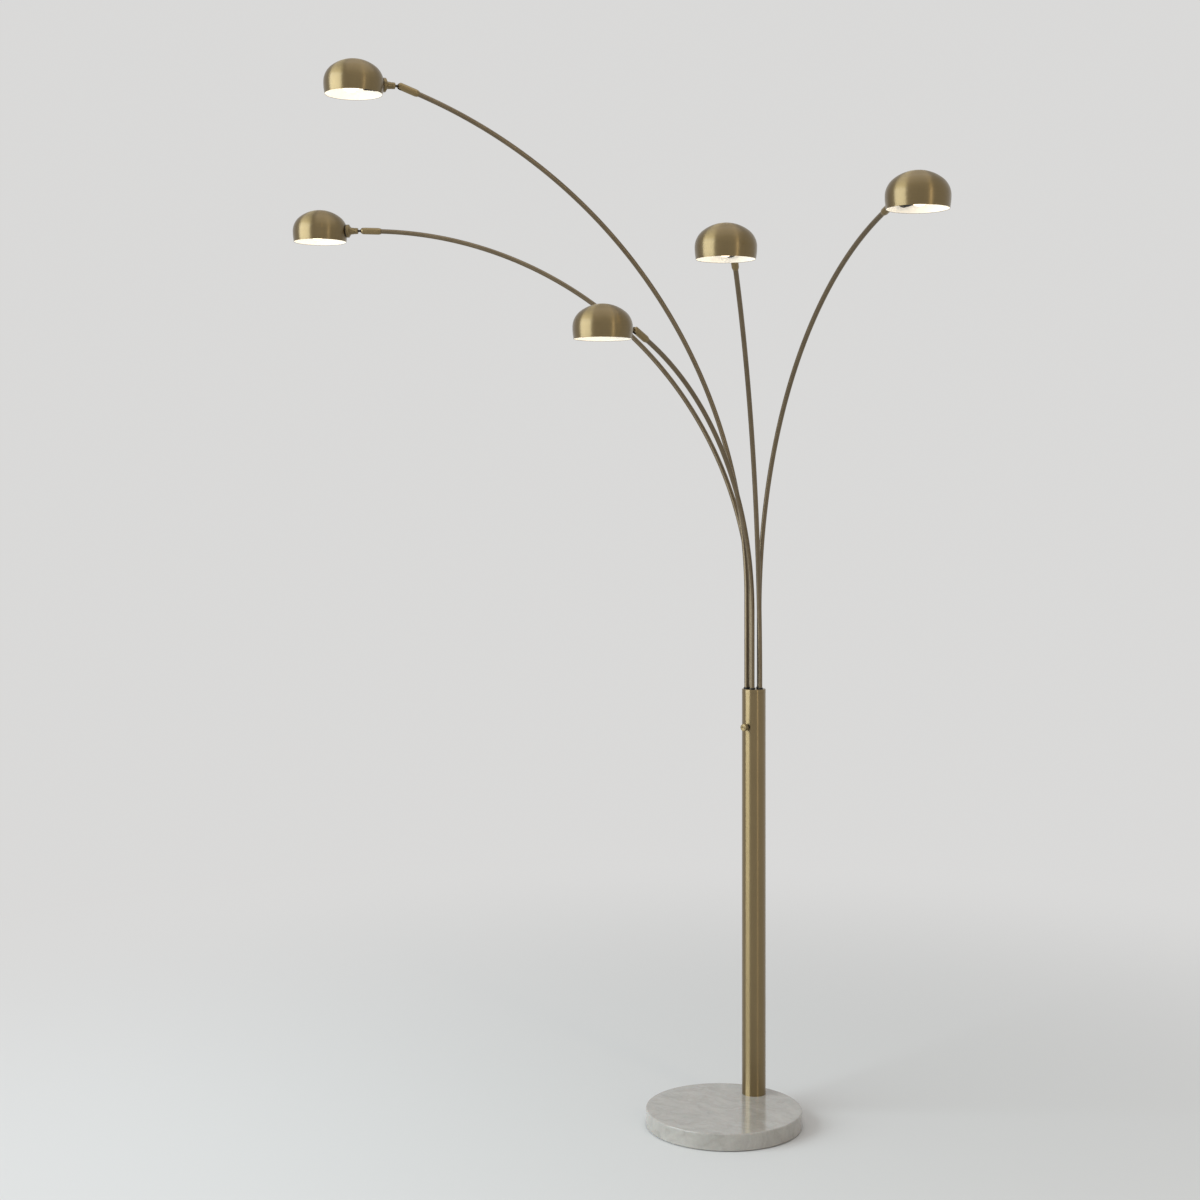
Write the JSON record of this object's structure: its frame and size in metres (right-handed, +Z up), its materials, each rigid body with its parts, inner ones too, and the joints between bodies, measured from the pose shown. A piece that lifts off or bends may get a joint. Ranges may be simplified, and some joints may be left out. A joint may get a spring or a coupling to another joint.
{
  "type": "multi-arm arc floor lamp",
  "caption": "Floor lamp with curved satin brass arms fanning from a thick pole on a round marble base, each arm ending in a domed shade on a tilting, turning joint.",
  "frame": {"origin": "centre of the round base's underside, on the floor", "axes": "+Z up; +X to the right and +Y away from the viewer in the picture"},
  "size_m": [1.2746, 0.8411, 2.1335],
  "materials": {
    "felt": "dense dark felt",
    "marble": "polished white marble with soft grey veins",
    "satin_brass": "satin, brushed round the turned axis, clear lacquer",
    "arm_brass": "satin, brushed, a shade browner than the shades",
    "white_enamel": "white enamel inside the shades",
    "steel": "zinc plated, plain machined",
    "dark_steel": "blackened steel, satin",
    "slip_washer": "natural nylon",
    "black_rubber": "matt black",
    "black_plastic": "moulded, semi-gloss black",
    "lit_glass": "opal globe, lit warm white"
  },
  "bodies": {
    "stand": {"felt_pad": "felt", "marble_base": "marble", "clamp_washer": "steel", "clamp_bolt": "steel", "pole_foot": "steel", "pole_tube": "satin_brass", "pole_cap": "satin_brass", "stem_bushes": "black_plastic", "stem_carrier": "steel", "stem_washers": "slip_washer", "tie_rod": "steel", "cord_grommet": "black_rubber", "dimmer_body": "black_plastic", "dimmer_nut": "dark_steel"},
    "knob": {"dimmer_knob": "satin_brass"},
    "arm_1": {"arm_tube_1": "arm_brass", "stem_collar_1": "steel", "arm_sleeve_1": "satin_brass"},
    "ball_1": {"joint_ball_1": "dark_steel"},
    "head_1": {"shade_neck_1": "satin_brass", "seat_washer_1": "black_rubber", "shade_1": "satin_brass", "lampholder_1": "black_plastic", "bulb_1": "lit_glass"},
    "arm_2": {"arm_tube_2": "arm_brass", "stem_collar_2": "steel", "arm_sleeve_2": "satin_brass"},
    "ball_2": {"joint_ball_2": "dark_steel"},
    "head_2": {"shade_neck_2": "satin_brass", "seat_washer_2": "black_rubber", "shade_2": "satin_brass", "lampholder_2": "black_plastic", "bulb_2": "lit_glass"},
    "arm_3": {"arm_tube_3": "arm_brass", "stem_collar_3": "steel", "arm_sleeve_3": "satin_brass"},
    "ball_3": {"joint_ball_3": "dark_steel"},
    "head_3": {"shade_neck_3": "satin_brass", "seat_washer_3": "black_rubber", "shade_3": "satin_brass", "lampholder_3": "black_plastic", "bulb_3": "lit_glass"},
    "arm_4": {"arm_tube_4": "arm_brass", "stem_collar_4": "steel", "arm_sleeve_4": "satin_brass"},
    "ball_4": {"joint_ball_4": "dark_steel"},
    "head_4": {"shade_neck_4": "satin_brass", "seat_washer_4": "black_rubber", "shade_4": "satin_brass", "lampholder_4": "black_plastic", "bulb_4": "lit_glass"},
    "arm_5": {"arm_tube_5": "arm_brass", "stem_collar_5": "steel", "arm_sleeve_5": "satin_brass"},
    "ball_5": {"joint_ball_5": "dark_steel"},
    "head_5": {"shade_neck_5": "satin_brass", "seat_washer_5": "black_rubber", "shade_5": "satin_brass", "lampholder_5": "black_plastic", "bulb_5": "lit_glass"}
  },
  "joints": [
    {"name": "dimmer_turn", "type": "hinge", "parent": "stand", "child": "knob", "pos_m": [0.05074, 0.0682, 0.807], "axis": [-0.6157, -0.788, 0], "range_deg": [-280, 0]},
    {"name": "arm_1_swivel", "type": "hinge", "parent": "stand", "child": "arm_1", "pos_m": [0.05421, 0.09184, 0.839], "axis": [0, 0, 1], "range_deg": [-25, 25]},
    {"name": "head_1_tilt", "type": "hinge", "parent": "arm_1", "child": "ball_1", "pos_m": [-0.64237, -0.19811, 2.08852], "axis": [0.3843, -0.9232, 0], "range_deg": [-40, 40]},
    {"name": "head_1_turn", "type": "hinge", "parent": "ball_1", "child": "head_1", "pos_m": [-0.64237, -0.19811, 2.08852], "axis": [-0.9232, -0.3843, 0], "range_deg": [-60, 60]},
    {"name": "arm_2_swivel", "type": "hinge", "parent": "stand", "child": "arm_2", "pos_m": [0.06457, 0.10611, 0.839], "axis": [0, 0, 1], "range_deg": [-60, 20]},
    {"name": "head_2_tilt", "type": "hinge", "parent": "arm_2", "child": "ball_2", "pos_m": [-0.76038, 0.16379, 1.85684], "axis": [-0.0698, -0.9976, 0], "range_deg": [-40, 40]},
    {"name": "head_2_turn", "type": "hinge", "parent": "ball_2", "child": "head_2", "pos_m": [-0.76038, 0.16379, 1.85684], "axis": [-0.9976, 0.0698, 0], "range_deg": [-60, 60]},
    {"name": "arm_3_swivel", "type": "hinge", "parent": "stand", "child": "arm_3", "pos_m": [0.06457, 0.07758, 0.839], "axis": [0, 0, 1], "range_deg": [-25, 20]},
    {"name": "head_3_tilt", "type": "hinge", "parent": "arm_3", "child": "ball_3", "pos_m": [-0.18497, -0.19002, 1.61467], "axis": [0.7314, -0.682, 0], "range_deg": [-40, 40]},
    {"name": "head_3_turn", "type": "hinge", "parent": "ball_3", "child": "head_3", "pos_m": [-0.18497, -0.19002, 1.61467], "axis": [-0.682, -0.7314, 0], "range_deg": [-60, 60]},
    {"name": "arm_4_swivel", "type": "hinge", "parent": "stand", "child": "arm_4", "pos_m": [0.08134, 0.08303, 0.839], "axis": [0, 0, 1], "range_deg": [-14, 18]},
    {"name": "head_4_tilt", "type": "hinge", "parent": "arm_4", "child": "ball_4", "pos_m": [0.00014, -0.27731, 1.75362], "axis": [0.9755, -0.2198, 0], "range_deg": [-40, 40]},
    {"name": "head_4_turn", "type": "hinge", "parent": "ball_4", "child": "head_4", "pos_m": [0.00014, -0.27731, 1.75362], "axis": [-0.2198, -0.9755, 0], "range_deg": [-60, 60]},
    {"name": "arm_5_swivel", "type": "hinge", "parent": "stand", "child": "arm_5", "pos_m": [0.08134, 0.10066, 0.839], "axis": [0, 0, 1], "range_deg": [-20, 60]},
    {"name": "head_5_tilt", "type": "hinge", "parent": "arm_5", "child": "ball_5", "pos_m": [0.2742, -0.46584, 1.81966], "axis": [0.9466, 0.3223, 0], "range_deg": [-40, 40]},
    {"name": "head_5_turn", "type": "hinge", "parent": "ball_5", "child": "head_5", "pos_m": [0.2742, -0.46584, 1.81966], "axis": [0.3223, -0.9466, 0], "range_deg": [-60, 60]}
  ]
}
